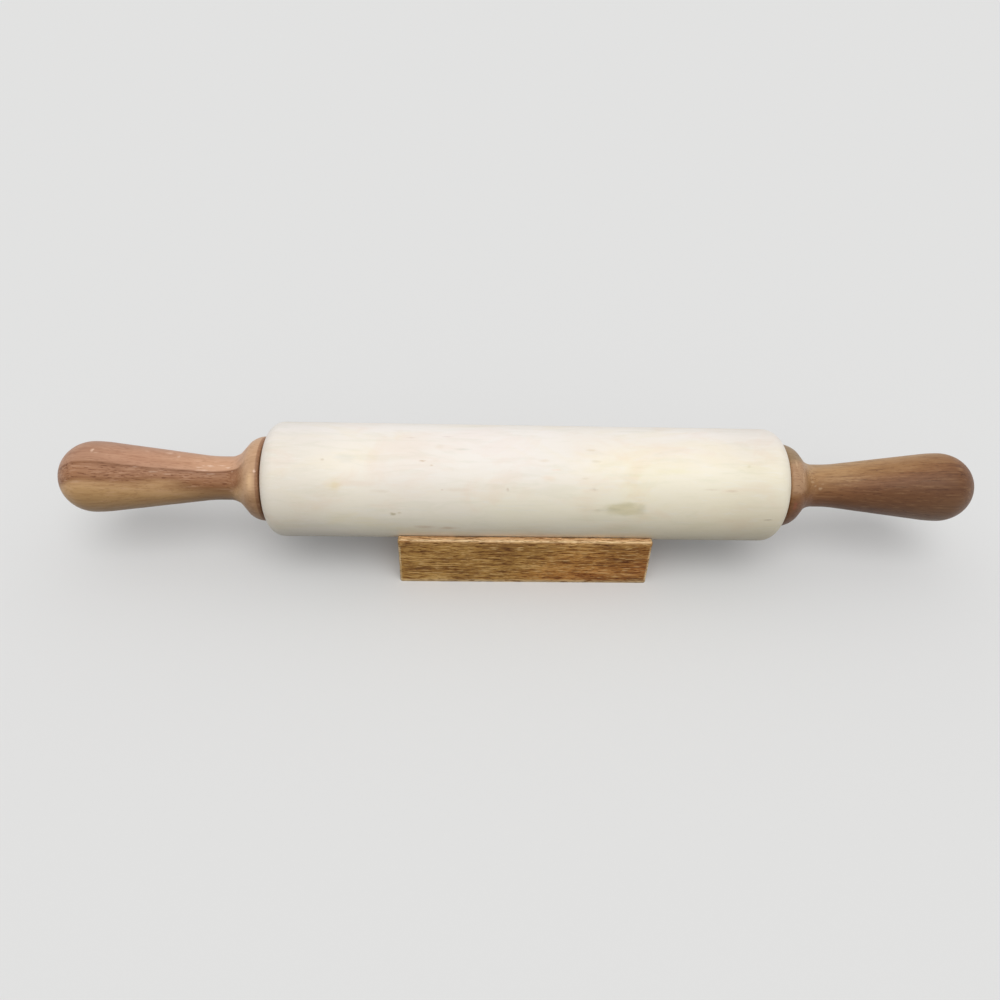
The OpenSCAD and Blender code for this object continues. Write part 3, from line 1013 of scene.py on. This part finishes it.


# The rim and the edges take [more, least] of their lighter tint, by their grain: partly wear and partly a
# painted highlight
cradleWood = {
    "grains": {
        "wave": (0.22, 90.0, 3.0, 0.55, 1.2),
        "fibre": (0.075, 860.0, 5.0, 0.66, 0.25),
        "fleck": (0.11, 1500.0, 2.0, 0.6),
        "fine": (0.12, 2500.0, 1.0, 0.5),
        "dash": (0.6, 150.0, 3.0, 0.65),
        "reddish": (0.3, 26.0, 2.0, 0.5),
    },
    "fibreShare": 0.62,
    "tones": (
        (0.36, (0.190, 0.078, 0.014)),
        (0.44, (0.330, 0.158, 0.034)),
        (0.50, (0.450, 0.236, 0.060)),
        (0.56, (0.560, 0.318, 0.092)),
        (0.64, (0.740, 0.470, 0.180)),
    ),
    "redLimits": (0.50, 0.66),
    "red": ((0.960, 0.740, 0.560), 0.75, "MULTIPLY"),
    "blushLean": (16.0, 0, -60.0),
    "blushSway": 2.0,
    "blushLimits": (0.0, 0.7),
    "blush": ((0.960, 0.800, 0.740), 1.0, "MULTIPLY"),
    "rightEndZone": (25.0, 50.0),
    "rightEnd": ((0.880, 0.850, 0.820), 1.0, "MULTIPLY"),
    "rimGrain": ("fibre", (0.36, 0.56), (0.55, 0.30)),
    "rim": (0.900, 0.580, 0.320),
    "edgeGrain": ("dash", (0.44, 0.56), (0.45, 0.50)),
    "edge": (0.985, 0.745, 0.420),
    # A greyish-tan band along the foot's lower edge: a painted reflection of the floor
    "footReflectionZone": (1.7, 0.7),
    "foot": ((0.420, 0.290, 0.160), 0.55, "MIX"),
    "rayLimits": (0.44, 0.33),
    "ray": ((0.800, 0.530, 0.225), 0.66, "MIX"),
    "poreLimits": (0.545, 0.64),
    "pore": ((0.400, 0.260, 0.120), 0.92, "MULTIPLY"),
    "finePoreLimits": (0.57, 0.66),
    "finePore": ((0.400, 0.260, 0.120), 0.62, "MULTIPLY"),
    "poreRelief": (0.7, -0.16 * mm),
    "finePoreRelief": (0.5, -0.07 * mm),
    "fibreRelief": (0.5, 0.12 * mm),
    "roughness": 0.36,
    "poreRoughness": 0.22,
    "fibreRoughness": 0.16,
    "specular": 0.30,
}


def cradlePaint():
    wood = cradleWood
    paint = Paint("cradle_wood")
    grain = paint.grains(wood["grains"])
    share = wood["fibreShare"]
    shade = paint.ramp(grain["fibre"] * share + grain["wave"] * (1 - share), wood["tones"])
    shade = paint.lay(shade, paint.mask(grain["reddish"], *wood["redLimits"]), wood["red"])
    blush = paint.along(wood["blushLean"]) + (grain["reddish"] - 0.5) * wood["blushSway"]
    shade = paint.lay(shade, paint.mask(blush, *wood["blushLimits"]), wood["blush"])
    rightEnd = paint.mask(paint.along((1, 0, 0)) / mm, *wood["rightEndZone"])
    shade = paint.lay(shade, rightEnd, wood["rightEnd"])
    # The rim and edges are lightened: partly wear, partly a painted highlight
    for part in ("rim", "edge"):
        name, limits, (more, least) = wood[part + "Grain"]
        inside = paint.node("ShaderNodeAttribute", {"attribute_name": part}, output="Fac")
        inside = inside * (paint.mask(grain[name], *limits) * more + least)
        shade = paint.mix(inside, shade, wood[part])
    # Painted reflection: a greyish-tan band along the foot's lower edge
    foot = paint.mask(paint.along((0, 0, 1)) / mm, *wood["footReflectionZone"])
    shade = paint.lay(shade, foot, wood["foot"])
    shade = paint.lay(shade, paint.mask(grain["fleck"], *wood["rayLimits"]), wood["ray"])
    pores = paint.mask(grain["fleck"], *wood["poreLimits"])
    finePores = paint.mask(grain["fine"], *wood["finePoreLimits"])
    shade = paint.lay(shade, pores, wood["pore"])
    shade = paint.lay(shade, finePores, wood["finePore"])
    relief = paint.relief(
        (pores, *wood["poreRelief"]),
        (finePores, *wood["finePoreRelief"]),
        (grain["fibre"], *wood["fibreRelief"]),
    )
    rough = pores * wood["poreRoughness"] + grain["fibre"] * wood["fibreRoughness"] + wood["roughness"]
    paint.set(Base_Color=shade, Roughness=rough, Normal=relief, Specular_IOR_Level=wood["specular"])
    return paint.material


# Inner pieces: fine lines from turning them, drawn out round the pin's axis, and a slow cloud
turned = {
    "steel": {"shade": (0.56, 0.57, 0.58), "roughness": 0.24},
    "brass": {"shade": (0.72, 0.52, 0.22), "roughness": 0.26},
    "metalLines": ((1, 0.08, 0.08), 2600.0, 2.0, 0.6),
    "metalCloud": (1, 140.0, 3.0, 0.55),
    "metalRelief": (0.3, 0.02 * mm),
    "tarnish": 0.78,
    "tarnishLimits": (0.45, 0.75),
    "tarnishStrength": 0.6,
    "nylonShades": ((0.80, 0.79, 0.74), (0.86, 0.855, 0.82)),
    "nylonLines": ((1, 0.1, 0.1), 1800.0, 2.0, 0.5),
    "nylonCloud": (1, 160.0, 3.0, 0.5),
    "nylonRelief": (0.25, 0.02 * mm),
    "nylonRoughness": 0.38,
    "unevenGloss": 0.12,
}


def turnedLines(paint, stretch, *row):
    return paint.noise(paint.place(stretch=stretch), *row)


def metalPaint(name):
    metal = turned[name]
    paint = Paint(name)
    lines = turnedLines(paint, *turned["metalLines"])
    cloud = paint.grain(*turned["metalCloud"])
    dull = tuple(part * turned["tarnish"] for part in metal["shade"])
    inside = paint.mask(cloud, *turned["tarnishLimits"]) * turned["tarnishStrength"]
    shade = paint.mix(inside, metal["shade"], dull)
    relief = paint.relief((lines, *turned["metalRelief"]))
    rough = lines * turned["unevenGloss"] + cloud * turned["unevenGloss"] + metal["roughness"]
    paint.set(Base_Color=shade, Metallic=1.0, Roughness=rough, Normal=relief)
    return paint.material


def nylonPaint():
    paint = Paint("nylon")
    lines = turnedLines(paint, *turned["nylonLines"])
    shade = paint.mix(paint.grain(*turned["nylonCloud"]), *turned["nylonShades"])
    relief = paint.relief((lines, *turned["nylonRelief"]))
    rough = lines * turned["unevenGloss"] + turned["nylonRoughness"]
    paint.set(Base_Color=shade, Roughness=rough, Normal=relief)
    return paint.material


barrel.data.materials.append(marblePaint())
leftHandle.data.materials.append(leftHandlePaint())
rightHandle.data.materials.append(rightHandlePaint())
cradle.data.materials.append(cradlePaint())
dress(metalPaint("steel"), "axle_rod", "left_thrust_washer", "right_thrust_washer")
dress(metalPaint("brass"), "left_threaded_insert", "right_threaded_insert")
dress(nylonPaint(), "left_bush", "right_bush")
print("materials made")

# The floor bounces less light up than it shows
studio = {
    "floorSize": 30.0,
    "floorShade": (0.78, 0.78, 0.775),
    "floorRoughness": 0.7,
    "bounceShade": (0.09, 0.09, 0.09),
    "worldShade": (1.0, 1.0, 1.0),
    "worldStrength": 0.68,
    "sunPower": 1.05,
    "sunSpread": math.radians(55),
    "sunLean": math.radians(28),
    "sunSide": math.radians(4),
}


def makeFloor():
    mesh = bmesh.new()
    bmesh.ops.create_grid(mesh, x_segments=1, y_segments=1, size=studio["floorSize"] / 2)
    floor = addMesh("floor", mesh)
    paint = Paint("floor")
    rays = ("Is Camera Ray", "Is Glossy Ray", "Is Transmission Ray")
    first, second, third = [paint.node("ShaderNodeLightPath", output=ray) for ray in rays]
    shade = paint.mix(first + second + third, studio["bounceShade"], studio["floorShade"])
    paint.set(Base_Color=shade, Roughness=studio["floorRoughness"], Specular_IOR_Level=0.0)
    floor.data.materials.append(paint.material)


def makeStudio():
    makeFloor()
    world = bpy.data.worlds.new("world")
    world.use_nodes = True
    background = world.node_tree.nodes["Background"]
    background.inputs["Color"].default_value = (*studio["worldShade"], 1)
    background.inputs["Strength"].default_value = studio["worldStrength"]
    bpy.context.scene.world = world
    bpy.context.scene.view_settings.view_transform = "Standard"
    data = bpy.data.lights.new("ceiling", "SUN")
    data.energy = studio["sunPower"]
    data.angle = studio["sunSpread"]
    lamp = addObject("ceiling", data)
    lamp.rotation_euler = (studio["sunLean"], studio["sunSide"], 0)


makeStudio()
print("studio lit")
